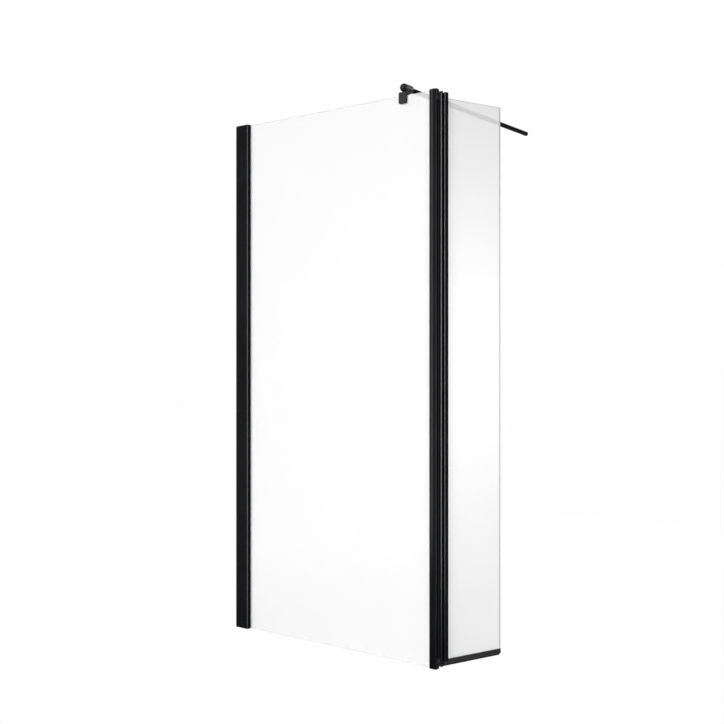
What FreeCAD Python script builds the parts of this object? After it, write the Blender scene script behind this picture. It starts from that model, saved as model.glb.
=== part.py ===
import FreeCAD
import Part
import math
import os

# Walk-in shower screen: a clear glass panel that stands out from the wall, a narrow
# deflector panel hinged on its free edge, and a support bar that ties it to the far wall.
# Millimetres. X runs from the wall along the main panel, Y into the shower, Z up.
# The origin is where the wall, the middle plane of the main glass and the floor meet.

# Overall sizes
screen_height = 1900.0
screen_width = 900.0
deflector_reach = 248.0
deflector_angle = 70.0
bar_reach = 860.0
bar_inset = 134.5
bar_rise = 27.7

# Glass panels and the rubber that holds them
glass_thickness = 6.0
glass_arris = 0.6
glass_floor_gap = 2.0
glass_top_gap = 0.5
glass_edge_gap = 1.5
deflector_top_drop = 31.5
gasket_thickness = 2.6
gasket_depth = 9.0
gasket_lip = 1.2
gasket_lip_overlap = 1.4
gasket_groove_inset = 4.0
gasket_groove_width = 2.6
gasket_groove_depth = 1.0
gasket_fit = 0.05

# Wall channel and the adjustable profile that slides over it
channel_base = 2.0
channel_flange = 1.6
channel_reach = 41.5
channel_fit = 0.5
channel_top_gap = 0.5
adjust_travel = 20.0
wall_clearance = 1.0
profile_skin = 1.8
profile_rib = 1.6
profile_chamber = 8.0
profile_corner = 5.0
profile_back_wall = 2.4
profile_back_corner = 1.5
profile_end_room = 2.0
profile_web = 1.8
pocket_depth = 15.2
wall_hole_diameter = 5.5
wall_hole_inset = 150.0
wall_hole_count = 3

# Lock screws on the shower side of the wall profile
lock_inset = 11.0
lock_diameter = 4.0
lock_fit = 0.15
lock_slot_fit = 0.3
lock_head_diameter = 8.0
lock_head_height = 2.4
lock_end_distance = 98.0
lock_count = 3
lock_tip = 1.0
nut_width = 7.0
nut_height = 3.2
lock_cap_wall = 1.1
lock_cap_roof = 1.2
lock_cap_bevel = 0.9

# End caps of the profiles
cap_thickness = 2.2
foot_thickness = 2.5
cap_tongue = 8.0
cap_fit = 0.15
cap_edge = 0.8

# Hinge post on the free edge of the main glass
post_end_wall = 10.5
post_rib = 1.0
post_edge_wall = 2.0
post_skin = 1.4
post_crown = 2.4
post_corner = 1.2
seal_slot_half = 1.4
seal_slot_lip = 1.6
seal_head_half = 2.6
seal_head_depth = 2.4
seal_fit = 0.1
seal_clearance = 0.5

# Hinge brackets, pins and bushes
bracket_inset = 12.0
bracket_plate = 3.4
bracket_height = 26.0
bracket_arm = 6.0
bracket_corner = 2.0
bracket_screw_offset = 5.4
bracket_screw_margin = 2.6
bracket_screw_diameter = 3.5
bracket_screw_head = 6.4
bracket_screw_length = 11.0
bracket_screw_fit = 0.05
pin_diameter = 5.0
pin_head_diameter = 8.0
pin_head_height = 1.6
pin_engagement = 14.0
pin_arm_fit = 0.02
pin_running_clearance = 0.04
bush_wall = 1.1
bush_flange = 1.2
bush_fit = 0.02
bush_end_room = 2.0
hinge_play = 0.3
swing_clearance = 1.5
hinge_setback = 4.5

# Deflector stile, the moving half of the hinge
barrel_wall = 1.4
neck_half = 1.6
stile_end_wall = 1.8
stile_pocket_depth = 9.7
stile_gasket_thickness = 2.2
stile_gasket_depth = 7.0
stile_wall = 4.8
stile_mouth_corner = 0.8
shoulder_clearance = 0.6
shoulder_flat = 0.05
stile_top_drop = 14.2
stile_cap_thickness = 2.0

# Bottom rail of the deflector and its sweep seal
sweep_floor_gap = 12.0
sweep_blade = 6.0
sweep_tip_half = 1.1
sweep_root_half = 2.6
rail_wall = 2.1
rail_bond = 0.4
rail_slot_half = 1.5
rail_slot_lip = 1.2
rail_slot_head_half = 2.9
rail_slot_head = 1.8
rail_web = 3.0
rail_grip = 10.0
rail_corner = 0.9
rail_notch_floor = 6.7
rail_stile_gap = 0.3
rail_cap_thickness = 2.5
rail_end_setback = 0.8
rail_seal_fit = 0.1

# Clamp of the support bar on the glass's top edge
clamp_width = 32.0
clamp_back_width = 23.0
clamp_front_wall = 6.0
clamp_back_wall = 5.0
clamp_drop = 28.1
clamp_bridge = 10.6
clamp_bridge_gap = 1.0
clamp_corner = 7.0
clamp_back_corner = 4.0
clamp_edge = 1.2
clamp_pad = 1.0
clamp_plate_thickness = 1.5
clamp_plate_fit = 0.1
clamp_pad_margin = 2.0
clamp_pad_foot = 3.0
clamp_screw_diameter = 5.0
clamp_screw_pitch = 12.0
clamp_screw_fit = 0.05
hex_socket = 2.5
hex_depth = 2.0

# Swivel stud, bar head, bar and its wall plug
stud_neck_diameter = 13.4
stud_root_diameter = 8.0
stud_root_length = 7.0
stud_pin_diameter = 7.0
stud_pin_length = 8.0
stud_running_clearance = 0.05
stud_seat_gap = 0.3
stud_fit = 0.05
head_diameter = 28.0
head_length = 39.0
head_seat_depth = 0.8
head_seat_fit = 0.4
head_socket_start = 15.0
head_rim = 1.5
bar_diameter = 17.0
bar_wall = 1.5
bar_fit = 0.1
bar_end_gap = 0.5
grub_diameter = 5.0
grub_inset = 10.0
plug_flange = 3.0
plug_spigot = 20.0
plug_fit = 0.1
plug_bore_diameter = 5.5
plug_counterbore_diameter = 10.0
plug_counterbore_depth = 9.0
plug_grub_diameter = 4.0

# Heights that follow from the driving sizes
profile_top = screen_height - cap_thickness
glass_top = profile_top - glass_top_gap
glass_half = glass_thickness / 2
pocket_half = glass_half + gasket_thickness

# Wall profile
rib_half = pocket_half + gasket_groove_depth + profile_rib
profile_front = rib_half + profile_chamber + profile_skin
profile_back = pocket_half + gasket_groove_depth + profile_back_wall
profile_middle = (profile_back - profile_front) / 2
channel_half = (profile_front + profile_back) / 2 - profile_skin - channel_fit
web_start = wall_clearance + channel_reach + profile_end_room
profile_mouth = web_start + profile_web + pocket_depth

# Deflector hinge
pin_radius = pin_diameter / 2
bush_inner = pin_radius + pin_running_clearance
bush_outer = bush_inner + bush_wall
barrel_bore = bush_outer + bush_fit
barrel_radius = barrel_bore + barrel_wall
stile_pocket_half = glass_half + stile_gasket_thickness
stile_half = stile_pocket_half + stile_wall
hinge_gap = stile_half + hinge_setback
bracket_half = bracket_screw_offset + bracket_screw_margin
stile_start = bracket_half + swing_clearance
stile_shoulder = barrel_radius + shoulder_clearance
shoulder_room = min(stile_start - stile_shoulder, (stile_half - neck_half) / 2)
shoulder_radius = shoulder_room - shoulder_flat
stile_mouth = stile_start + stile_end_wall + stile_pocket_depth
pivot_x = screen_width + hinge_gap

# Hinge post
post_mouth = screen_width - post_end_wall - profile_web - pocket_depth
post_rib_half = pocket_half + gasket_groove_depth + post_rib
post_edge_half = pocket_half + gasket_groove_depth + post_edge_wall

# Heights of the hinge, from the floor up and from the top down
low_arm_bottom = bracket_inset
low_arm_top = low_arm_bottom + bracket_arm
high_arm_top = screen_height - bracket_inset
high_arm_bottom = high_arm_top - bracket_arm
barrel_bottom = low_arm_top + hinge_play + bush_flange
barrel_top = high_arm_bottom - hinge_play - bush_flange

# Bottom rail
rail_bottom = sweep_floor_gap + sweep_blade
rail_slot_roof = rail_bottom + rail_slot_lip + rail_slot_head
rail_pocket_floor = rail_slot_roof + rail_web
rail_top = rail_pocket_floor + rail_grip
rail_notch = rail_slot_roof + rail_notch_floor
rail_half = glass_half + rail_bond + rail_wall
rail_end = deflector_reach - rail_end_setback - rail_cap_thickness
stile_bottom = rail_notch + rail_stile_gap
stile_top = screen_height - stile_top_drop - stile_cap_thickness
deflector_glass_top = screen_height - deflector_top_drop

# Clamp and bar
clamp_x = screen_width - bar_inset
clamp_top = glass_top + clamp_bridge_gap + clamp_bridge
clamp_bottom = glass_top - clamp_drop
clamp_front = -(glass_half + clamp_pad + clamp_front_wall)
clamp_slot_back = glass_half + clamp_pad + clamp_plate_thickness + clamp_plate_fit
clamp_back = clamp_slot_back + clamp_back_wall
bar_z = glass_top + bar_rise
head_radius = head_diameter / 2
bar_radius = bar_diameter / 2
head_seat = bar_z - head_radius + head_seat_depth


def outline(corners):
    """Closed wire through (x, y) or (x, y, radius) corners, each rounded by its own radius."""
    turns = []
    for index, corner in enumerate(corners):
        here = FreeCAD.Vector(corner[0], corner[1], 0)
        radius = corner[2] if len(corner) == 3 else 0
        before = FreeCAD.Vector(*corners[index - 1][:2], 0)
        after = FreeCAD.Vector(*corners[(index + 1) % len(corners)][:2], 0)
        back = (before - here).normalize()
        ahead = (after - here).normalize()
        half_angle = back.getAngle(ahead) / 2
        setback = radius / math.tan(half_angle)
        middle = here + (back + ahead).normalize() * (radius / math.sin(half_angle) - radius)
        turns.append((here + back * setback, middle, here + ahead * setback, radius))
    edges = []
    for index, (start, middle, end, radius) in enumerate(turns):
        if radius > 0:
            edges.append(Part.Arc(start, middle, end).toShape())
        following = turns[(index + 1) % len(turns)][0]
        if end.distanceToPoint(following) > 1e-6:
            edges.append(Part.LineSegment(end, following).toShape())
    return Part.Wire(edges)


def rectangle(x_low, x_high, y_low, y_high, radius=0):
    """Corners of a rectangle, all with one radius."""
    return [(x_low, y_low, radius), (x_high, y_low, radius), (x_high, y_high, radius), (x_low, y_high, radius)]


def upright(corners, low, high):
    """Extrusion that stands on an XY section, from one height to another."""
    solid = Part.Face(outline(corners)).extrude(FreeCAD.Vector(0, 0, high - low))
    solid.translate(FreeCAD.Vector(0, 0, low))
    return solid


def lengthwise(corners, start, end):
    """Extrusion along X of a YZ section."""
    solid = Part.Face(outline(corners)).extrude(FreeCAD.Vector(0, 0, end - start))
    solid.rotate(FreeCAD.Vector(0, 0, 0), FreeCAD.Vector(1, 1, 1), 120)
    solid.translate(FreeCAD.Vector(start, 0, 0))
    return solid


def rod(x, y, z, direction, length, radius):
    """Round rod from a point along a direction."""
    return Part.makeCylinder(radius, length, FreeCAD.Vector(x, y, z), FreeCAD.Vector(*direction))


def hex_recess(x, y, z, direction):
    """Hexagon socket cut into a screw's end, opening against the direction."""
    corners = []
    for side in range(6):
        turn = math.radians(60 * side)
        corners.append((hex_socket / math.sqrt(3) * math.cos(turn), hex_socket / math.sqrt(3) * math.sin(turn)))
    recess = upright(corners, 0, hex_depth)
    recess.Placement = FreeCAD.Placement(
        FreeCAD.Vector(x, y, z), FreeCAD.Rotation(FreeCAD.Vector(0, 0, 1), FreeCAD.Vector(*direction))
    )
    return recess


def group(solids):
    """Several separate solids in one node."""
    return Part.makeCompound(solids)


def on_deflector(solid):
    """Turn a piece drawn about the pivot axis, in line with the main panel, to its rest angle."""
    solid.rotate(FreeCAD.Vector(0, 0, 0), FreeCAD.Vector(0, 0, 1), deflector_angle)
    solid.translate(FreeCAD.Vector(pivot_x, 0, 0))
    return solid


def bevelled(solid, height, size):
    """Bevel the rim of a solid's top face."""
    rim = [edge for edge in solid.Edges if edge.BoundBox.ZMin > height - 1e-3]
    return solid.makeChamfer(size, rim)


def save(node, shape):
    """Write one node and print what it holds."""
    print(f"{node:24s} solids {len(shape.Solids)} valid {shape.isValid()} volume {shape.Volume:.0f}")
    shape.exportStep(f"parts/{node}.step")


def glazing_void(mouth, inward, half, depth, low, high):
    """Glass pocket of an extrusion, with a gasket groove in each wall."""
    outside = mouth - inward * gasket_lip
    groove_start = mouth + inward * gasket_groove_inset
    groove_end = groove_start + inward * gasket_groove_width
    bottom = mouth + inward * depth
    groove_half = half + gasket_groove_depth
    upper = [
        (outside, half),
        (groove_start, half),
        (groove_start, groove_half),
        (groove_end, groove_half),
        (groove_end, half),
        (bottom, half),
    ]
    lower = [(x, -y) for x, y in reversed(upper)]
    return upright(upper + lower, low, high)


def gasket(mouth, inward, side, thickness, depth, low, high):
    """Rubber strip between glass and pocket wall: a cover lip outside and a foot in the groove."""
    face = glass_half + thickness - gasket_fit
    lip = glass_half + thickness + gasket_lip_overlap
    foot = glass_half + thickness + gasket_groove_depth - gasket_fit
    outside = mouth - inward * gasket_lip
    seat = mouth - inward * gasket_fit
    foot_start = mouth + inward * (gasket_groove_inset + gasket_fit)
    foot_end = mouth + inward * (gasket_groove_inset + gasket_groove_width - gasket_fit)
    bottom = mouth + inward * depth
    corners = [
        (outside, side * glass_half),
        (outside, side * lip, gasket_lip / 2),
        (seat, side * lip),
        (seat, side * face),
        (foot_start, side * face),
        (foot_start, side * foot),
        (foot_end, side * foot),
        (foot_end, side * face),
        (bottom, side * face),
        (bottom, side * glass_half),
    ]
    return upright(corners, low, high)


def glass_pane(start, end, low, high):
    """Toughened pane with ground arrises along every edge."""
    pane = upright(rectangle(start, end, -glass_half, glass_half), low, high)
    return pane.makeChamfer(glass_arris, pane.Edges)


def hinge_pin(low, direction):
    """Pivot pin with a flat head against the outer face of its bracket arm."""
    head = rod(pivot_x, 0, low, (0, 0, -direction), pin_head_height, pin_head_diameter / 2)
    shank = rod(pivot_x, 0, low, (0, 0, direction), bracket_arm + hinge_play + pin_engagement, pin_radius)
    return head.fuse(shank).removeSplitter()


def hinge_bush(end, direction):
    """Flanged acetal bush pressed into an end of the barrel, drawn about the pivot axis."""
    flange = rod(0, 0, end, (0, 0, -direction), bush_flange, barrel_radius)
    sleeve = rod(0, 0, end, (0, 0, direction), pin_engagement + bush_end_room, bush_outer)
    bore = rod(0, 0, end - direction * bush_flange, (0, 0, direction),
               bush_flange + pin_engagement + bush_end_room, bush_inner)
    return flange.fuse(sleeve).cut(bore).removeSplitter()


def countersunk(x, y, z, direction, fit):
    """Countersunk screw body, widened by a fit: a cone at the face and a plain shank."""
    head_radius_here = bracket_screw_head / 2 + fit
    shank_radius = bracket_screw_diameter / 2 + fit
    cone_height = head_radius_here - shank_radius
    cone = Part.makeCone(head_radius_here, shank_radius, cone_height,
                         FreeCAD.Vector(x, y, z), FreeCAD.Vector(*direction))
    return cone.fuse(rod(x, y, z, direction, bracket_screw_length + fit, shank_radius)).removeSplitter()


def bracket_screw_places():
    """Face points of the bracket screws, two in each bracket."""
    face = screen_width + bracket_plate
    rises = (low_arm_bottom + bracket_height / 2 + bracket_arm / 2,
             high_arm_top - bracket_height / 2 - bracket_arm / 2)
    return [(face, side * bracket_screw_offset, rise) for rise in rises for side in (-1, 1)]


def hinge_bracket(plate_low, arm_low):
    """Die-cast bracket: a plate on the post's end face and an arm that carries the pivot pin."""
    plate_high = plate_low + bracket_height
    plate_outline = rectangle(-bracket_half, bracket_half, plate_low, plate_high, bracket_corner)
    plate = lengthwise(plate_outline, screen_width, screen_width + bracket_plate)
    nose_outline = rectangle(screen_width, pivot_x, -barrel_radius, barrel_radius)
    nose = upright(nose_outline, arm_low, arm_low + bracket_arm)
    eye = rod(pivot_x, 0, arm_low, (0, 0, 1), bracket_arm, barrel_radius)
    pin_hole = rod(pivot_x, 0, arm_low, (0, 0, 1), bracket_arm, pin_radius + pin_arm_fit)
    bracket = plate.fuse([nose, eye]).cut(pin_hole).removeSplitter()
    for place in bracket_screw_places():
        bracket = bracket.cut(countersunk(*place, (-1, 0, 0), bracket_screw_fit))
    return bracket


os.makedirs("parts", exist_ok=True)

# Wall channel: the U extrusion that is screwed to the wall, slotted for the lock screws
wall_hole_rise = (screen_height - 2 * wall_hole_inset) / (wall_hole_count - 1)
channel_top = profile_top - channel_top_gap
channel_front = profile_middle - channel_half
channel_back = profile_middle + channel_half
channel = upright(rectangle(0, channel_reach, channel_front, channel_back), 0, channel_top)
channel_hollow = rectangle(channel_base, channel_reach,
                           channel_front + channel_flange, channel_back - channel_flange)
channel = channel.cut(upright(channel_hollow, 0, channel_top))
for index in range(wall_hole_count):
    rise = wall_hole_inset + index * wall_hole_rise
    channel = channel.cut(rod(0, profile_middle, rise, (1, 0, 0), channel_base, wall_hole_diameter / 2))
lock_rises = [lock_end_distance + index * (screen_height - 2 * lock_end_distance) / (lock_count - 1)
              for index in range(lock_count)]
lock_hole = lock_diameter / 2 + lock_fit
lock_slot = lock_diameter / 2 + lock_slot_fit
for rise in lock_rises:
    slot = upright(rectangle(lock_inset - lock_slot, lock_inset + adjust_travel + lock_slot,
                             rise - lock_slot, rise + lock_slot, lock_slot * 0.999), 0, channel_flange)
    slot.rotate(FreeCAD.Vector(0, 0, 0), FreeCAD.Vector(1, 0, 0), 90)
    slot.translate(FreeCAD.Vector(0, channel_back, 0))
    channel = channel.cut(slot)
save("wall_channel", channel)

# Wall profile: slides over the channel and holds the main glass in its pocket, nearer to the shower side
profile_outline = [
    (wall_clearance, -profile_front),
    (profile_mouth, -profile_front, profile_corner),
    (profile_mouth, profile_back, profile_back_corner),
    (wall_clearance, profile_back),
]
profile = upright(profile_outline, 0, profile_top)
profile_inside = profile_front - profile_skin
profile_hollow = rectangle(wall_clearance, web_start, -profile_inside, profile_back - profile_skin)
profile = profile.cut(upright(profile_hollow, 0, profile_top))
profile = profile.cut(glazing_void(profile_mouth, -1, pocket_half, pocket_depth, 0, profile_top))
chamber_start = web_start + profile_web
chamber_end = profile_mouth - profile_skin
inner_corner = profile_corner - profile_skin
chamber = [
    (chamber_start, -rib_half),
    (chamber_end, -rib_half),
    (chamber_end, -profile_inside, inner_corner),
    (chamber_start, -profile_inside),
]
profile = profile.cut(upright(chamber, 0, profile_top))
for rise in lock_rises:
    profile = profile.cut(rod(lock_inset, profile_back, rise, (0, -1, 0), profile_skin, lock_hole))
save("wall_profile", profile)

# Lock screws, their nuts inside the channel and the caps over their heads
lock_length = profile_back - channel_back + channel_flange + nut_height + lock_tip
nut_face = channel_back - channel_flange - lock_fit
lock_screws = []
lock_nuts = []
lock_caps = []
for rise in lock_rises:
    shank = rod(lock_inset, profile_back, rise, (0, -1, 0), lock_length, lock_diameter / 2)
    head = rod(lock_inset, profile_back, rise, (0, 1, 0), lock_head_height, lock_head_diameter / 2)
    socket = hex_recess(lock_inset, profile_back + lock_head_height - hex_depth, rise, (0, 1, 0))
    lock_screws.append(shank.fuse(head).cut(socket).removeSplitter())
    nut = Part.makeBox(nut_width, nut_height, nut_width,
                       FreeCAD.Vector(lock_inset - nut_width / 2, nut_face - nut_height, rise - nut_width / 2))
    lock_nuts.append(nut.cut(rod(lock_inset, nut_face, rise, (0, -1, 0), nut_height, lock_hole)))
    cap_inner = lock_head_diameter / 2 + lock_fit
    cap_outer = cap_inner + lock_cap_wall
    cap_inner_height = lock_head_height + lock_fit
    cap = rod(lock_inset, profile_back, rise, (0, 1, 0), cap_inner_height + lock_cap_roof, cap_outer)
    cap_rim = [edge for edge in cap.Edges if edge.BoundBox.YMin > profile_back + 1e-3]
    cap = cap.makeChamfer(lock_cap_bevel, cap_rim)
    lock_caps.append(cap.cut(rod(lock_inset, profile_back, rise, (0, 1, 0), cap_inner_height, cap_inner)))
save("lock_screws", group(lock_screws))
save("lock_nuts", group(lock_nuts))
save("lock_caps", group(lock_caps))

# Cap on top of the wall profile, with a tongue down into its chamber
wall_cap = bevelled(upright(profile_outline, profile_top, screen_height), screen_height, cap_edge)
wall_tongue = rectangle(chamber_start + cap_fit, chamber_end - cap_fit,
                        -profile_inside + inner_corner, -rib_half - cap_fit)
wall_cap = wall_cap.fuse(upright(wall_tongue, profile_top - cap_tongue, profile_top))
save("wall_profile_cap", wall_cap.removeSplitter())

# Main glass on its setting blocks
main_glass_start = profile_mouth - pocket_depth + glass_edge_gap
main_glass_end = post_mouth + pocket_depth - glass_edge_gap
save("main_glass", glass_pane(main_glass_start, main_glass_end, glass_floor_gap, glass_top))
wall_block = upright(rectangle(main_glass_start, profile_mouth, -glass_half, glass_half), 0, glass_floor_gap)
post_block = upright(rectangle(post_mouth, main_glass_end, -glass_half, glass_half), 0, glass_floor_gap)
save("setting_blocks", group([wall_block, post_block]))
gasket_low = glass_floor_gap + glass_arris
gasket_high = glass_top - glass_arris
for side, name in ((-1, "front"), (1, "back")):
    save(f"wall_gasket_{name}",
         gasket(profile_mouth, -1, side, gasket_thickness, gasket_depth, gasket_low, gasket_high))
    save(f"post_gasket_{name}",
         gasket(post_mouth, 1, side, gasket_thickness, gasket_depth, gasket_low, gasket_high))

# Hinge post: crowned extrusion on the free edge of the main glass, with a slot for the hinge seal


def crowned(low, high, inset):
    """Prism with bowed front and back faces, drawn inside the post's outer faces by an inset."""
    start = post_mouth + inset
    end = screen_width - inset
    half = post_edge_half - inset
    middle = (start + end) / 2
    sides = ((start, -half), (end, -half), (end, half), (start, half))
    corners = [FreeCAD.Vector(*side, low) for side in sides]
    front_crown = FreeCAD.Vector(middle, -half - post_crown, low)
    back_crown = FreeCAD.Vector(middle, half + post_crown, low)
    section = Part.Wire([
        Part.Arc(corners[0], front_crown, corners[1]).toShape(),
        Part.LineSegment(corners[1], corners[2]).toShape(),
        Part.Arc(corners[2], back_crown, corners[3]).toShape(),
        Part.LineSegment(corners[3], corners[0]).toShape(),
    ])
    return Part.Face(section).extrude(FreeCAD.Vector(0, 0, high - low))


def post_blank(low, high):
    """Outer form of the post between two heights, its four long corners rounded."""
    blank = crowned(low, high, 0)
    return blank.makeFillet(post_corner, [edge for edge in blank.Edges if edge.BoundBox.ZLength > 1e-3])


def post_hollows(low, high, fit):
    """The two crescent hollows beside the glass pocket, drawn smaller by a fit."""
    reach = post_edge_half + post_crown
    rib = post_rib_half + fit
    ribs = upright(rectangle(post_mouth, screen_width, -rib, rib), low, high)
    end_wall = upright(rectangle(post_mouth + pocket_depth - fit, screen_width, -reach, reach), low, high)
    return crowned(low, high, post_skin + fit).cut([ribs, end_wall])


post = post_blank(foot_thickness, profile_top)
post = post.cut(glazing_void(post_mouth, 1, pocket_half, pocket_depth, foot_thickness, profile_top))
post = post.cut(post_hollows(foot_thickness, profile_top, 0))
seal_slot = [
    (screen_width, seal_slot_half),
    (screen_width - seal_slot_lip, seal_slot_half),
    (screen_width - seal_slot_lip, seal_head_half),
    (screen_width - seal_slot_lip - seal_head_depth, seal_head_half),
]
seal_slot_whole = seal_slot + [(x, -y) for x, y in reversed(seal_slot)]
post = post.cut(upright(seal_slot_whole, foot_thickness, profile_top))
for place in bracket_screw_places():
    post = post.cut(countersunk(*place, (-1, 0, 0), bracket_screw_fit))
save("hinge_post", post)
post_cap = bevelled(post_blank(profile_top, screen_height), screen_height, cap_edge)
post_cap = post_cap.fuse(post_hollows(profile_top - cap_tongue, profile_top, cap_fit))
save("post_top_cap", post_cap.removeSplitter())
foot = post_blank(0, foot_thickness)
foot_notch = glass_half + cap_fit
foot = foot.cut(upright(rectangle(post_mouth, main_glass_end + cap_fit, -foot_notch, foot_notch), 0, foot_thickness))
foot = foot.fuse(post_hollows(foot_thickness, foot_thickness + cap_tongue, cap_fit))
save("post_foot", foot.removeSplitter())

# Hinge seal: T-headed strip in the post's slot that closes the gap to the barrel
seal_low = low_arm_bottom + bracket_height
seal_high = high_arm_top - bracket_height
seal_nose = hinge_gap - barrel_radius - seal_clearance
seal_profile = [
    (screen_width + seal_nose, seal_head_half, seal_head_half * 0.9),
    (screen_width + seal_fit, seal_head_half),
    (screen_width + seal_fit, seal_slot_half - seal_fit),
    (screen_width - seal_slot_lip - seal_fit, seal_slot_half - seal_fit),
    (screen_width - seal_slot_lip - seal_fit, seal_head_half - seal_fit),
    (screen_width - seal_slot_lip - seal_head_depth + seal_fit, seal_head_half - seal_fit),
]
seal_whole = seal_profile + [(corner[0], -corner[1], *corner[2:]) for corner in reversed(seal_profile)]
save("hinge_seal", upright(seal_whole, seal_low, seal_high))

# Brackets at the foot and the top of the hinge, their screws and pivot pins
save("hinge_bracket_bottom", hinge_bracket(low_arm_bottom, low_arm_bottom))
save("hinge_bracket_top", hinge_bracket(high_arm_top - bracket_height, high_arm_bottom))
bracket_screws = []
for place in bracket_screw_places():
    socket = hex_recess(place[0] - hex_depth, place[1], place[2], (1, 0, 0))
    bracket_screws.append(countersunk(*place, (-1, 0, 0), 0).cut(socket))
save("bracket_screws", group(bracket_screws))
save("pivot_pin_bottom", hinge_pin(low_arm_bottom, 1))
save("pivot_pin_top", hinge_pin(high_arm_top, -1))

# Deflector stile: the moving extrusion, a barrel on a neck between two round shoulders and a glass pocket behind
stile_side = [
    (stile_mouth, stile_half, stile_mouth_corner),
    (stile_shoulder, stile_half, shoulder_radius),
    (stile_shoulder, neck_half, shoulder_radius),
    (stile_start, neck_half),
]
stile_body_outline = stile_side + [(corner[0], -corner[1], *corner[2:]) for corner in reversed(stile_side)]
stile_body = upright(stile_body_outline, stile_bottom, stile_top)
stile_body = stile_body.cut(
    glazing_void(stile_mouth, -1, stile_pocket_half, stile_pocket_depth, stile_bottom, stile_top))
neck_end = stile_start + stile_end_wall / 2
neck = upright(rectangle(0, neck_end, -neck_half, neck_half), stile_bottom, barrel_top)
barrel = rod(0, 0, barrel_bottom, (0, 0, 1), barrel_top - barrel_bottom, barrel_radius)
bore = rod(0, 0, barrel_bottom, (0, 0, 1), barrel_top - barrel_bottom, barrel_bore)
stile = stile_body.fuse([neck, barrel]).cut(bore).removeSplitter()
save("hinge_stile", on_deflector(stile))
save("pivot_bush_bottom", on_deflector(hinge_bush(barrel_bottom, 1)))
save("pivot_bush_top", on_deflector(hinge_bush(barrel_top, -1)))

# Cap on top of the stile, with a tongue that fills the pocket above the glass
stile_cap_top = stile_top + stile_cap_thickness
stile_cap = bevelled(upright(stile_body_outline, stile_top, stile_cap_top), stile_cap_top, cap_edge)
stile_tongue = rectangle(stile_start + stile_end_wall + cap_fit, stile_mouth,
                         -stile_pocket_half + cap_fit, stile_pocket_half - cap_fit)
stile_cap = stile_cap.fuse(upright(stile_tongue, deflector_glass_top + glass_top_gap, stile_top))
save("stile_top_cap", on_deflector(stile_cap.removeSplitter()))

# Deflector glass and its gaskets in the stile
deflector_glass_start = stile_start + stile_end_wall + glass_edge_gap / 2
deflector_glass_bottom = rail_pocket_floor + glass_top_gap
deflector_pane = glass_pane(deflector_glass_start, deflector_reach, deflector_glass_bottom, deflector_glass_top)
save("deflector_glass", on_deflector(deflector_pane))
for side, name in ((-1, "front"), (1, "back")):
    strip = gasket(stile_mouth, -1, side, stile_gasket_thickness, stile_gasket_depth,
                   rail_top + glass_arris, deflector_glass_top - glass_arris)
    save(f"stile_gasket_{name}", on_deflector(strip))

# Bottom rail: grips the foot of the glass, runs on under the stile to the barrel and carries the sweep seal
rail_start = barrel_radius + swing_clearance
rail = lengthwise([
    (-rail_half, rail_bottom),
    (rail_half, rail_bottom),
    (rail_half, rail_top, rail_corner),
    (-rail_half, rail_top, rail_corner),
], rail_start, rail_end)
rail_pocket = glass_half + rail_bond
rail_groove = rectangle(-rail_pocket, rail_pocket, rail_pocket_floor, rail_top)
rail = rail.cut(lengthwise(rail_groove, rail_start, rail_end))
rail_slot = [
    (rail_slot_half, rail_bottom),
    (rail_slot_half, rail_bottom + rail_slot_lip),
    (rail_slot_head_half, rail_bottom + rail_slot_lip),
    (rail_slot_head_half, rail_slot_roof),
]
rail_slot_whole = rail_slot + [(-y, z) for y, z in reversed(rail_slot)]
rail = rail.cut(lengthwise(rail_slot_whole, rail_start, rail_end))
rail_step = rectangle(-rail_half, rail_half, rail_notch, rail_top)
rail = rail.cut(lengthwise(rail_step, rail_start, stile_mouth + rail_stile_gap))
save("bottom_rail", on_deflector(rail))
sweep = [
    (sweep_tip_half, sweep_floor_gap),
    (sweep_root_half, rail_bottom - rail_seal_fit),
    (rail_slot_half - rail_seal_fit, rail_bottom - rail_seal_fit),
    (rail_slot_half - rail_seal_fit, rail_bottom + rail_slot_lip + rail_seal_fit),
    (rail_slot_head_half - rail_seal_fit, rail_bottom + rail_slot_lip + rail_seal_fit),
    (rail_slot_head_half - rail_seal_fit, rail_slot_roof - rail_seal_fit),
]
sweep_whole = sweep + [(-y, z) for y, z in reversed(sweep)]
save("sweep_seal", on_deflector(lengthwise(sweep_whole, rail_start, rail_end)))
rail_cap = lengthwise([
    (-rail_half, rail_bottom, rail_corner),
    (rail_half, rail_bottom, rail_corner),
    (rail_half, rail_top, rail_corner),
    (-rail_half, rail_top, rail_corner),
], rail_end, rail_end + rail_cap_thickness)
rail_cap = rail_cap.cut(lengthwise(rail_groove, rail_end, rail_end + rail_cap_thickness))
save("rail_end_cap", on_deflector(rail_cap))

# Clamp: a wide jaw before the glass, a bridge over its top edge and a narrower jaw on the shower side


def clamp_jaw(width, front, back, corner):
    """Jaw of the clamp between two depths, rounded at its lower corners."""
    jaw = upright(rectangle(clamp_x - width / 2, clamp_x + width / 2, front, back), clamp_bottom, clamp_top)
    foot_edges = [edge for edge in jaw.Edges if edge.BoundBox.ZMax < clamp_bottom + 1e-3]
    return jaw.makeFillet(corner, [edge for edge in foot_edges if edge.BoundBox.YLength > 1e-3])


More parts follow.
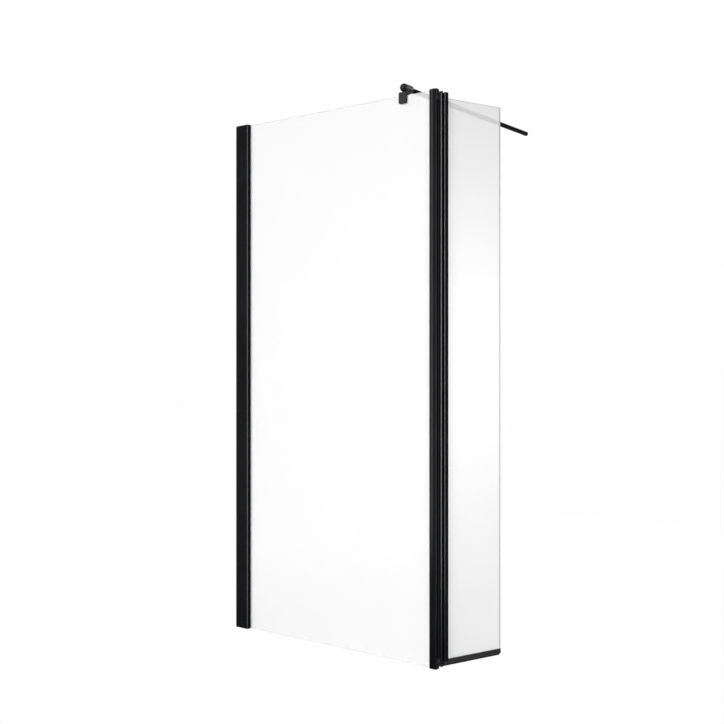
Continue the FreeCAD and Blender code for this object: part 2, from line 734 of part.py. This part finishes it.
clamp_half = clamp_width / 2
clamp_slot_front = -glass_half - clamp_pad
clamp = clamp_jaw(clamp_width, clamp_front, clamp_slot_front, clamp_corner)
clamp_bridge_outline = rectangle(clamp_x - clamp_half, clamp_x + clamp_half, clamp_front, clamp_back)
clamp = clamp.fuse([
    clamp_jaw(clamp_back_width, clamp_slot_back, clamp_back, clamp_back_corner),
    upright(clamp_bridge_outline, glass_top + clamp_bridge_gap, clamp_top),
]).removeSplitter()
face_edges = [edge for edge in clamp.Edges if edge.BoundBox.YMax < clamp_front + 1e-3]
clamp = clamp.makeFillet(clamp_edge, face_edges)
clamp = clamp.cut(rod(clamp_x, 0, clamp_top, (0, 0, -1), stud_root_length + stud_fit,
                      stud_root_diameter / 2 + stud_fit))
clamp_screw_rise = (clamp_bottom + glass_top) / 2
clamp_screw_places = [clamp_x + side * clamp_screw_pitch / 2 for side in (-1, 1)]
for x in clamp_screw_places:
    clamp = clamp.cut(rod(x, clamp_back, clamp_screw_rise, (0, -1, 0), clamp_back_wall,
                          clamp_screw_diameter / 2 + clamp_screw_fit))
save("clamp_body", clamp)


def clamp_sheet(width, front, back):
    """Flat piece between a jaw and the glass, drawn in from the jaw's edges."""
    half = width / 2 - clamp_pad_margin
    return Part.makeBox(
        2 * half, back - front, clamp_drop - clamp_pad_foot - glass_arris,
        FreeCAD.Vector(clamp_x - half, front, clamp_bottom + clamp_pad_foot))


pad_back = glass_half + clamp_pad
save("clamp_pad_front", clamp_sheet(clamp_width, clamp_slot_front, -glass_half))
save("clamp_pad_back", clamp_sheet(clamp_back_width, glass_half, pad_back))
save("clamp_plate", clamp_sheet(clamp_back_width, pad_back, pad_back + clamp_plate_thickness))
clamp_screws = []
for x in clamp_screw_places:
    screw = rod(x, clamp_back, clamp_screw_rise, (0, -1, 0), clamp_back_wall + clamp_plate_fit,
                clamp_screw_diameter / 2)
    clamp_screws.append(screw.cut(hex_recess(x, clamp_back - hex_depth, clamp_screw_rise, (0, 1, 0))))
save("clamp_screws", group(clamp_screws))

# Swivel stud: screwed into the clamp's bridge, a neck below the head and a pin inside it
stud_root = rod(clamp_x, 0, clamp_top - stud_root_length, (0, 0, 1), stud_root_length, stud_root_diameter / 2)
stud_neck = rod(clamp_x, 0, clamp_top, (0, 0, 1), head_seat - stud_seat_gap - clamp_top, stud_neck_diameter / 2)
stud_pin = rod(clamp_x, 0, head_seat - stud_seat_gap, (0, 0, 1), stud_pin_length, stud_pin_diameter / 2)
save("swivel_stud", stud_root.fuse([stud_neck, stud_pin]).removeSplitter())

# Bar head: domed over the stud, with a socket for the bar
dome = Part.makeSphere(head_radius, FreeCAD.Vector(clamp_x, 0, bar_z))
sleeve = rod(clamp_x, 0, bar_z, (0, 1, 0), head_length, head_radius)
rim_edges = [edge for edge in sleeve.Edges if edge.BoundBox.YMin > head_length - 1e-3]
head = dome.fuse(sleeve.makeFillet(head_rim, rim_edges)).removeSplitter()
head = head.cut(rod(clamp_x, head_socket_start, bar_z, (0, 1, 0), head_length - head_socket_start,
                    bar_radius + bar_fit))
head = head.cut(rod(clamp_x, 0, head_seat, (0, 0, -1), head_radius, stud_neck_diameter / 2 + head_seat_fit))
head = head.cut(rod(clamp_x, 0, head_seat, (0, 0, 1), stud_pin_length,
                    stud_pin_diameter / 2 + stud_running_clearance))
grub_y = head_length - grub_inset
head = head.cut(rod(clamp_x, grub_y, bar_z, (0, 0, -1), head_radius, grub_diameter / 2 + stud_fit))
save("bar_head", head)
grub_top = bar_z - bar_radius - stud_fit
grub_bottom = bar_z - head_radius + head_seat_depth
grub = rod(clamp_x, grub_y, grub_bottom, (0, 0, 1), grub_top - grub_bottom, grub_diameter / 2)
save("head_grub_screw", grub.cut(hex_recess(clamp_x, grub_y, grub_bottom, (0, 0, 1))))

# Support bar: a plain tube from the head to the plug on the far wall
bar_start = head_socket_start + bar_end_gap
bar_end = bar_reach - plug_flange
bar_bore = bar_radius - bar_wall
bar = rod(clamp_x, bar_start, bar_z, (0, 1, 0), bar_end - bar_start, bar_radius)
bar = bar.cut(rod(clamp_x, bar_start, bar_z, (0, 1, 0), bar_end - bar_start, bar_bore))
plug_grub_y = bar_end - plug_spigot / 2
bar = bar.cut(rod(clamp_x, plug_grub_y, bar_z, (0, 0, -1), bar_radius, plug_grub_diameter / 2 + stud_fit))
save("bar_tube", bar)

# Wall plug: spigot inside the far end of the bar, with the hole for its wall screw
flange = rod(clamp_x, bar_end, bar_z, (0, 1, 0), plug_flange, bar_radius)
spigot = rod(clamp_x, bar_end - plug_spigot, bar_z, (0, 1, 0), plug_spigot, bar_bore - plug_fit)
plug = flange.fuse(spigot)
plug_start = bar_end - plug_spigot
plug = plug.cut(rod(clamp_x, plug_start, bar_z, (0, 1, 0), plug_spigot + plug_flange, plug_bore_diameter / 2))
counterbore_radius = plug_counterbore_diameter / 2
plug = plug.cut(rod(clamp_x, plug_start, bar_z, (0, 1, 0), plug_counterbore_depth, counterbore_radius))
save("bar_wall_plug", plug.removeSplitter())
plug_grub = rod(clamp_x, plug_grub_y, bar_z - bar_radius, (0, 0, 1), bar_wall, plug_grub_diameter / 2)
save("plug_grub_screw", plug_grub)
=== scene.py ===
import math

import bmesh
import bpy
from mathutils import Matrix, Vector


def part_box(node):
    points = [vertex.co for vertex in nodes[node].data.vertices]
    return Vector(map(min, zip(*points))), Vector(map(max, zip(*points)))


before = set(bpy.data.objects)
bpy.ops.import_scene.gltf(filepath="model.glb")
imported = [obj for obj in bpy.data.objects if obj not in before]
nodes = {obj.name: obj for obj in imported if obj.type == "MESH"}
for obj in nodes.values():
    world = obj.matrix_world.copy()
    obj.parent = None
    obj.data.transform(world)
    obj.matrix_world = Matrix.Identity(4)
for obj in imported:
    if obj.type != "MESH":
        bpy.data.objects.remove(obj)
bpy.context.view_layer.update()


# Wall channel and wall profile
# Two aluminium extrusions that slide into each other, powder coated in a fine matte black.
# The channel is screwed to the wall, and the profile holds the main glass in its pocket.
def join(tree, source, target):
    """Link an output socket to an input socket."""
    tree.links.new(source, target)


def add_node(tree, kind, **sockets):
    """Add a shader node and set its input sockets by name."""
    node = tree.nodes.new(kind)
    for name, value in sockets.items():
        node.inputs[name].default_value = value
    return node


def add_math(tree, operation, first, second):
    """Add a math node for two sockets and give its result."""
    node = tree.nodes.new("ShaderNodeMath")
    node.operation = operation
    join(tree, first, node.inputs[0])
    join(tree, second, node.inputs[1])
    return node.outputs[0]


def sum_of(tree, first, factor, base):
    """Value of first times factor plus base, which is a number or a socket."""
    node = tree.nodes.new("ShaderNodeMath")
    node.operation = "MULTIPLY_ADD"
    join(tree, first, node.inputs[0])
    node.inputs[1].default_value = factor
    if isinstance(base, float):
        node.inputs[2].default_value = base
    else:
        join(tree, base, node.inputs[2])
    return node.outputs[0]


def make_coat_grain():
    """Fine grain of a sprayed or moulded black surface, with broad tone and faint lengthwise draw lines."""
    tone_scale = 7.0
    line_scale = 900.0
    line_stretch = (1.0, 1.0, 0.003)
    line_height = 0.6
    base_shade, grain_shade, tone_shade = 0.55, 0.4, 0.5
    base_matt, grain_matt, tone_matt = -0.13, 0.16, 0.1

    group = bpy.data.node_groups.new("coat grain", "ShaderNodeTree")
    sockets = group.interface
    sockets.new_socket("Colour", in_out="INPUT", socket_type="NodeSocketColor")
    for name in ("Roughness", "Grain", "Draw lines"):
        sockets.new_socket(name, in_out="INPUT", socket_type="NodeSocketFloat")
    sockets.new_socket("Colour", in_out="OUTPUT", socket_type="NodeSocketColor")
    for name in ("Roughness", "Height"):
        sockets.new_socket(name, in_out="OUTPUT", socket_type="NodeSocketFloat")
    given = group.nodes.new("NodeGroupInput")
    result = group.nodes.new("NodeGroupOutput")
    place = group.nodes.new("ShaderNodeTexCoord").outputs["Object"]

    fine = add_node(group, "ShaderNodeTexNoise", Detail=3.0)
    join(group, place, fine.inputs["Vector"])
    join(group, given.outputs["Grain"], fine.inputs["Scale"])
    grain = fine.outputs["Fac"]
    broad = add_node(group, "ShaderNodeTexNoise", Scale=tone_scale, Detail=4.0)
    join(group, place, broad.inputs["Vector"])
    tone = broad.outputs["Fac"]
    stretch = add_node(group, "ShaderNodeMapping", Scale=line_stretch)
    join(group, place, stretch.inputs["Vector"])
    lines = add_node(group, "ShaderNodeTexNoise", Scale=line_scale, Detail=2.0)
    join(group, stretch.outputs["Vector"], lines.inputs["Vector"])
    drawn = add_math(group, "MULTIPLY", lines.outputs["Fac"], given.outputs["Draw lines"])

    shade = sum_of(group, tone, tone_shade, sum_of(group, grain, grain_shade, base_shade))
    tint = group.nodes.new("ShaderNodeVectorMath")
    tint.operation = "SCALE"
    join(group, given.outputs["Colour"], tint.inputs[0])
    join(group, shade, tint.inputs["Scale"])
    join(group, tint.outputs[0], result.inputs["Colour"])
    matt = sum_of(group, grain, grain_matt, sum_of(group, tone, tone_matt, base_matt))
    join(group, add_math(group, "ADD", given.outputs["Roughness"], matt), result.inputs["Roughness"])
    join(group, sum_of(group, drawn, line_height, grain), result.inputs["Height"])
    return group


coat_grain = make_coat_grain()


def black_coat(name, colour, roughness, specular, grain, depth, draw_lines=0.0):
    """Matte black finish whose grain comes from the coat grain group."""
    material = bpy.data.materials.new(name)
    material.use_nodes = True
    tree = material.node_tree
    shader = tree.nodes["Principled BSDF"]
    shader.inputs["Specular IOR Level"].default_value = specular
    grained = tree.nodes.new("ShaderNodeGroup")
    grained.node_tree = coat_grain
    grained.inputs["Colour"].default_value = (*colour, 1.0)
    grained.inputs["Roughness"].default_value = roughness
    grained.inputs["Grain"].default_value = grain
    grained.inputs["Draw lines"].default_value = draw_lines
    join(tree, grained.outputs["Colour"], shader.inputs["Base Color"])
    join(tree, grained.outputs["Roughness"], shader.inputs["Roughness"])
    bump = add_node(tree, "ShaderNodeBump", Strength=0.35, Distance=depth)
    join(tree, grained.outputs["Height"], bump.inputs["Height"])
    join(tree, bump.outputs["Normal"], shader.inputs["Normal"])
    return material


def dress(material, *names):
    """Give a material to CAD nodes."""
    for name in names:
        nodes[name].material_slots[0].material = material


powder_black = black_coat(
    "black powder coat", colour=(0.0024, 0.0026, 0.0033), roughness=0.27, specular=0.045,
    grain=2200.0, depth=0.00003, draw_lines=0.5,
)
dress(powder_black, "wall_channel", "wall_profile")

# Lock screws
# Blackened stainless screws that hold the profile on the channel, with square nuts inside the channel.
# Push-on plastic caps cover their heads, and a cap of the same plastic closes the profile's top.
screw_black = black_coat(
    "blackened screw steel", colour=(0.02, 0.02, 0.02), roughness=0.33, specular=0.5,
    grain=3000.0, depth=0.00003,
)
dress(screw_black, "lock_screws")


def turned_steel(name, colour, roughness):
    """Stainless steel with fine turning marks, which vary its roughness about the given value."""
    marks_scale = 2500.0
    marks_matt = 0.2
    marks_depth = 0.00002
    material = bpy.data.materials.new(name)
    material.use_nodes = True
    tree = material.node_tree
    shader = tree.nodes["Principled BSDF"]
    shader.inputs["Base Color"].default_value = (*colour, 1.0)
    shader.inputs["Metallic"].default_value = 1.0
    place = tree.nodes.new("ShaderNodeTexCoord").outputs["Object"]
    noise = add_node(tree, "ShaderNodeTexNoise", Scale=marks_scale, Detail=2.0)
    join(tree, place, noise.inputs["Vector"])
    marks = noise.outputs["Fac"]
    join(tree, sum_of(tree, marks, marks_matt, roughness - marks_matt / 2), shader.inputs["Roughness"])
    bump = add_node(tree, "ShaderNodeBump", Strength=0.2, Distance=marks_depth)
    join(tree, marks, bump.inputs["Height"])
    join(tree, bump.outputs["Normal"], shader.inputs["Normal"])
    return material


bare_steel = turned_steel("stainless steel", colour=(0.55, 0.55, 0.56), roughness=0.3)
dress(bare_steel, "lock_nuts")
moulded_black = black_coat(
    "moulded black plastic", colour=(0.014, 0.014, 0.0145), roughness=0.5, specular=0.18,
    grain=1400.0, depth=0.00005,
)
dress(moulded_black, "lock_caps", "wall_profile_cap")

# Main glass
# One pane of 6 mm clear toughened glass, ground along its edges, standing on plastic setting blocks.
# Black rubber gaskets hold it in the wall profile and in the hinge post.
arris = 0.0007
# Width of the band beside a pane's end edge, where the edge seen through the face is painted on
edge_band = 0.0045


def make_ground_edge():
    """Mask of a pane's top edge, and more faintly of a band beside its end edge, where the end edge as seen
    through the face is painted on.
    """
    group = bpy.data.node_groups.new("ground edge", "ShaderNodeTree")
    sockets = group.interface
    sockets.new_socket("Direction", in_out="INPUT", socket_type="NodeSocketVector")
    for name in ("Reach", "Top", "Band"):
        sockets.new_socket(name, in_out="INPUT", socket_type="NodeSocketFloat")
    sockets.new_socket("Mask", in_out="OUTPUT", socket_type="NodeSocketFloat")
    given = group.nodes.new("NodeGroupInput")
    result = group.nodes.new("NodeGroupOutput")
    place = group.nodes.new("ShaderNodeTexCoord").outputs["Object"]
    split = group.nodes.new("ShaderNodeSeparateXYZ")
    join(group, place, split.inputs[0])
    along = group.nodes.new("ShaderNodeVectorMath")
    along.operation = "DOT_PRODUCT"
    join(group, place, along.inputs[0])
    join(group, given.outputs["Direction"], along.inputs[1])
    end = add_math(group, "GREATER_THAN", along.outputs["Value"], given.outputs["Reach"])
    top = add_math(group, "GREATER_THAN", split.outputs["Z"], given.outputs["Top"])
    band = add_math(group, "MULTIPLY", end, given.outputs["Band"])
    join(group, add_math(group, "MAXIMUM", band, top), result.inputs["Mask"])
    return group


ground_edge = make_ground_edge()


def clear_glass(name, clearness, direction, reach, top, edge_grey_and_shade, band):
    """Clear pane with a light bloom, whose ground edges are greyer and duller than its faces; the end edge
    is painted on as a grey band where it would show through the face, and the edge grey also carries
    painted shade.
    """
    face_tint = (0.987, 0.989, 0.988, 1.0)
    edge_cool = 1.02
    edge_roughness = 0.5
    material = bpy.data.materials.new(name)
    material.use_nodes = True
    tree = material.node_tree
    shader = tree.nodes["Principled BSDF"]
    shader.inputs["IOR"].default_value = 1.5
    shader.inputs["Transmission Weight"].default_value = clearness
    edge = tree.nodes.new("ShaderNodeGroup")
    edge.node_tree = ground_edge
    edge.inputs["Direction"].default_value = direction
    edge.inputs["Reach"].default_value = reach - edge_band
    edge.inputs["Top"].default_value = top - arris
    edge.inputs["Band"].default_value = band
    tint = tree.nodes.new("ShaderNodeMix")
    tint.data_type = "RGBA"
    tint.inputs["A"].default_value = face_tint
    tint.inputs["B"].default_value = (edge_grey_and_shade, edge_grey_and_shade * edge_cool, edge_grey_and_shade * edge_cool, 1.0)
    join(tree, edge.outputs["Mask"], tint.inputs["Factor"])
    join(tree, tint.outputs["Result"], shader.inputs["Base Color"])
    join(tree, sum_of(tree, edge.outputs["Mask"], edge_roughness, 0.0), shader.inputs["Roughness"])
    return material


main_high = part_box("main_glass")[1]
main_pane = clear_glass(
    "clear glass main pane", clearness=0.5, direction=(1.0, 0.0, 0.0), reach=main_high[0],
    top=main_high[2], edge_grey_and_shade=0.55, band=0.7,
)
dress(main_pane, "main_glass")
dress(moulded_black, "setting_blocks")
gasket_rubber = black_coat(
    "black gasket rubber", colour=(0.004, 0.004, 0.004), roughness=0.6, specular=0.12,
    grain=900.0, depth=0.00005, draw_lines=0.4,
)
dress(gasket_rubber, "wall_gasket_front", "wall_gasket_back", "post_gasket_front", "post_gasket_back")

# Hinge post
# Crowned aluminium extrusion on the free edge of the main glass, in the same powder coat.
# A plastic cap and foot close its ends, and a rubber strip in its slot seals against the barrel.
dress(powder_black, "hinge_post")
dress(moulded_black, "post_top_cap", "post_foot")
dress(gasket_rubber, "hinge_seal")

# Hinge brackets, pins and bushes
# Die-cast zinc brackets screwed to the post's end face, in a black coat a little greyer than the profiles'.
# Stainless pins turn in acetal bushes that are pressed into the barrel.
cast_black = black_coat(
    "black coat on die-cast zinc", colour=(0.009, 0.009, 0.0096), roughness=0.36, specular=0.15,
    grain=1800.0, depth=0.00004,
)
dress(cast_black, "hinge_bracket_top", "hinge_bracket_bottom")
dress(screw_black, "bracket_screws")
dress(bare_steel, "pivot_pin_top", "pivot_pin_bottom")
bush_acetal = black_coat(
    "black acetal", colour=(0.016, 0.016, 0.016), roughness=0.36, specular=0.4,
    grain=1500.0, depth=0.00002,
)
dress(bush_acetal, "pivot_bush_top", "pivot_bush_bottom")

# Deflector panel
# Narrow pane in the moving stile, whose barrel turns on the hinge pins.
# A satin black aluminium rail grips its foot and carries a rubber sweep seal, closed by a plastic end cap.
dress(powder_black, "hinge_stile")
satin_black = black_coat(
    "black satin coat", colour=(0.008, 0.008, 0.0088), roughness=0.36, specular=0.17,
    grain=2000.0, depth=0.00004, draw_lines=0.3,
)
dress(satin_black, "bottom_rail")
panel_turn = math.radians(70.0)
panel_way = Vector((math.cos(panel_turn), math.sin(panel_turn), 0.0))
pivot = Vector((0.9145, 0.0, 0.0))
deflector_width = 0.248
# Same glass as the main pane, given a lower clearness so that what lies behind shows paler, and a darker
# edge grey, which is painted shade along its free edge.
deflector_pane = clear_glass(
    "clear glass deflector pane", clearness=0.42, direction=panel_way,
    reach=panel_way.dot(pivot) + deflector_width, top=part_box("deflector_glass")[1][2],
    edge_grey_and_shade=0.22, band=0.62,
)
dress(deflector_pane, "deflector_glass")
dress(moulded_black, "stile_top_cap", "rail_end_cap")
dress(gasket_rubber, "stile_gasket_front", "stile_gasket_back", "sweep_seal")

# Clamp and support bar
# Die-cast clamp on the glass's top edge, tightened by set screws on a steel plate between rubber pads.
# The bar is a tube in a domed head that swivels on the clamp's stud, with a plug at its far end.
dress(cast_black, "clamp_body", "swivel_stud", "bar_head", "bar_wall_plug")
# The tube's coat is the powder coat made darker and less reflective. This is painted shade, in place of
# darker surroundings for the tube to reflect.
shaded_tube_coat = black_coat(
    "powder coat darkened as painted shade for the tube", colour=(0.0014, 0.0015, 0.0018), roughness=0.3, specular=0.018,
    grain=2200.0, depth=0.00003, draw_lines=0.5,
)
dress(shaded_tube_coat, "bar_tube")
dress(gasket_rubber, "clamp_pad_front", "clamp_pad_back")
dress(bare_steel, "clamp_plate")
dress(screw_black, "clamp_screws", "head_grub_screw", "plug_grub_screw")


# Studio
# White floor and surroundings, evenly lit by soft boxes in front, at the right and behind.
# Sheen lamps show only as highlights on the black pieces, and a sunken grey mat only in reflections.
def seen_white(tree):
    """One for the camera, reflections and glass, zero for all other light."""
    path = tree.nodes.new("ShaderNodeLightPath")
    seen = path.outputs["Is Camera Ray"]
    for ray in ("Is Glossy Ray", "Is Transmission Ray"):
        seen = add_math(tree, "MAXIMUM", seen, path.outputs[ray])
    return seen


ambient_level = 0.45
plain_white = (1.0, 1.0, 1.0, 1.0)
world = bpy.data.worlds.new("studio")
bpy.context.scene.world = world
world.use_nodes = True
sky = world.node_tree
ambient = sky.nodes["Background"]
ambient.inputs["Color"].default_value = plain_white
ambient.inputs["Strength"].default_value = ambient_level
white = add_node(sky, "ShaderNodeBackground", Color=plain_white, Strength=1.0)
choose = sky.nodes.new("ShaderNodeMixShader")
join(sky, seen_white(sky), choose.inputs["Fac"])
join(sky, ambient.outputs[0], choose.inputs[1])
join(sky, white.outputs[0], choose.inputs[2])
join(sky, choose.outputs[0], sky.nodes["World Output"].inputs["Surface"])


def stage_sheet(name, low, high, rise, material):
    """Flat sheet of the studio between two corners, at a height."""
    sheet = bmesh.new()
    bmesh.ops.create_grid(sheet, x_segments=1, y_segments=1, size=0.5)
    bmesh.ops.scale(sheet, vec=(high[0] - low[0], high[1] - low[1], 1.0), verts=sheet.verts)
    middle = ((low[0] + high[0]) / 2, (low[1] + high[1]) / 2, rise)
    bmesh.ops.translate(sheet, vec=middle, verts=sheet.verts)
    mesh = bpy.data.meshes.new(name)
    sheet.to_mesh(mesh)
    sheet.free()
    mesh.materials.append(material)
    piece = bpy.data.objects.new(name, mesh)
    bpy.context.scene.collection.objects.link(piece)
    return piece


floor_half = 150.0
floor_rise = -0.0005
floor_tone = (0.95, 0.95, 0.95, 1.0)
glow_share = 0.98  # the rest of what is seen shows the object's shadow
floor_white = bpy.data.materials.new("white floor")
floor_white.use_nodes = True
ground = floor_white.node_tree
plain = ground.nodes["Principled BSDF"]
plain.inputs["Base Color"].default_value = floor_tone
plain.inputs["Roughness"].default_value = 0.9
plain.inputs["Specular IOR Level"].default_value = 0.0
glow = add_node(ground, "ShaderNodeEmission", Strength=1.0)
cover = ground.nodes.new("ShaderNodeMixShader")
join(ground, sum_of(ground, seen_white(ground), glow_share, 0.0), cover.inputs["Fac"])
join(ground, plain.outputs[0], cover.inputs[1])
join(ground, glow.outputs[0], cover.inputs[2])
join(ground, cover.outputs[0], ground.nodes["Material Output"].inputs["Surface"])
floor = stage_sheet("floor", (-floor_half, -floor_half), (floor_half, floor_half), floor_rise, floor_white)
floor.visible_glossy = False  # reflections pass it, to the mat and the white surroundings below


def fading_mat(name, middle, near, far, tone):
    """Mat that fades from grey at its middle to white at its rim, seen in reflections and nowhere else."""
    material = bpy.data.materials.new(name)
    material.use_nodes = True
    tree = material.node_tree
    tree.nodes.remove(tree.nodes["Principled BSDF"])
    away = tree.nodes.new("ShaderNodeVectorMath")
    away.operation = "DISTANCE"
    join(tree, tree.nodes.new("ShaderNodeTexCoord").outputs["Object"], away.inputs[0])
    away.inputs[1].default_value = middle
    fade = tree.nodes.new("ShaderNodeMapRange")
    fade.interpolation_type = "SMOOTHSTEP"
    fade.inputs["From Min"].default_value = near
    fade.inputs["From Max"].default_value = far
    fade.inputs["To Min"].default_value = tone
    join(tree, away.outputs["Value"], fade.inputs["Value"])
    light = tree.nodes.new("ShaderNodeEmission")
    join(tree, fade.outputs["Result"], light.inputs["Strength"])
    join(tree, light.outputs[0], tree.nodes["Material Output"].inputs["Surface"])
    low = (middle[0] - far, middle[1] - far)
    high = (middle[0] + far, middle[1] + far)
    mat = stage_sheet(name, low, high, middle[2], material)
    mat.visible_camera = False
    mat.visible_diffuse = False
    mat.visible_transmission = False
    mat.visible_shadow = False


fading_mat("front_mat", middle=(-1.9, -2.2, -1.0), near=1.0, far=4.5, tone=0.35)


def soft_box(name, place, target, width, height, power):
    """Studio lamp aimed at a point, hidden from the camera and the glass."""
    light = bpy.data.lights.new(name, "AREA")
    light.shape = "RECTANGLE"
    light.size = width
    light.size_y = height
    light.energy = power
    lamp = bpy.data.objects.new(name, light)
    lamp.location = place
    lamp.rotation_euler = (Vector(target) - Vector(place)).to_track_quat("-Z", "Y").to_euler()
    lamp.visible_camera = False
    lamp.visible_transmission = False
    bpy.context.scene.collection.objects.link(lamp)
    return lamp


# Soft boxes: name, place, target, width and height in metres, power in watts
for box in (
    ("front soft box", (0.4, -5.0, 0.75), (0.45, 0.0, 0.75), 1.5, 1.5, 173.0),
    ("right soft box", (1.85, -0.2, 1.03), (0.95, 0.12, 0.98), 0.5, 0.8, 6.9),
    ("back soft box", (0.2, 3.3, 1.0), (0.5, 0.0, 1.0), 1.0, 1.0, 72.0),
):
    soft_box(*box).visible_glossy = False

shading = bpy.data.collections.new("pieces that shade")
for name, piece in nodes.items():
    if not name.endswith("glass"):
        shading.objects.link(piece)

wall_pieces = ["wall_profile", "wall_profile_cap"]
post_pieces = ["hinge_post", "post_top_cap"]
stile_pieces = ["hinge_stile", "stile_top_cap"]
hinge_pieces = post_pieces + stile_pieces
front_pieces = post_pieces + ["post_foot", "bottom_rail", "rail_end_cap"]
back_pieces = wall_pieces + front_pieces + stile_pieces
clamp_pieces = ["clamp_body", "swivel_stud"]
head_pieces = ["bar_head"]

# Sheen lamps: as the soft boxes, then the pieces that show the lamp; the floor doesn't shade them
for *box, lit in (
    ("wall sheen", (0.43, -1.45, 1.0), (0.04, 0.0, 1.0), 2.1, 2.9, 570.0, wall_pieces),
    ("left sheen", (-0.15, -1.25, 1.35), (0.9, 0.0, 1.35), 0.5, 2.5, 60.0, hinge_pieces),
    ("front sheen", (1.755, -1.02, 1.15), (0.9, 0.0, 1.15), 1.54, 2.6, 430.0, front_pieces),
    ("stile sheen", (1.4, -1.22, 1.21), (0.92, 0.0, 1.21), 0.8, 2.46, 508.0, stile_pieces),
    ("back sheen", (0.2, 2.8, 1.2), (0.6, 0.0, 1.2), 1.6, 2.8, 340.0, back_pieces),
    ("clamp sheen", (-0.3, -1.06, 2.25), (0.77, 0.0, 1.9), 0.65, 0.9, 7.2, clamp_pieces),
    ("head front sheen", (0.9, -1.5, 2.3), (0.77, 0.0, 1.92), 2.2, 0.8, 30.0, head_pieces),
    ("head side sheen", (1.64, 1.16, 2.25), (0.77, 0.0, 1.92), 0.5, 0.4, 6.5, head_pieces),
):
    lamp = soft_box(*box)
    lamp.visible_diffuse = False
    receivers = bpy.data.collections.new(lamp.name)
    for name in lit:
        receivers.objects.link(nodes[name])
    lamp.light_linking.receiver_collection = receivers
    lamp.light_linking.blocker_collection = shading

# Camera
# Level, 37 degrees to the right of the main panel's normal, at a little over half the screen's height.
camera_place = (2.697, -2.767, 1.0053)
camera_level = math.radians(90.0)
camera_turn = math.radians(37.311)
camera_data = bpy.data.cameras.new("camera")
camera_data.lens = 50.0
camera_data.sensor_width = 36.0
camera = bpy.data.objects.new("camera", camera_data)
camera.location = camera_place
camera.rotation_euler = (camera_level, 0.0, camera_turn)
bpy.context.scene.collection.objects.link(camera)
bpy.context.scene.camera = camera
bpy.context.scene.view_settings.view_transform = "Standard"
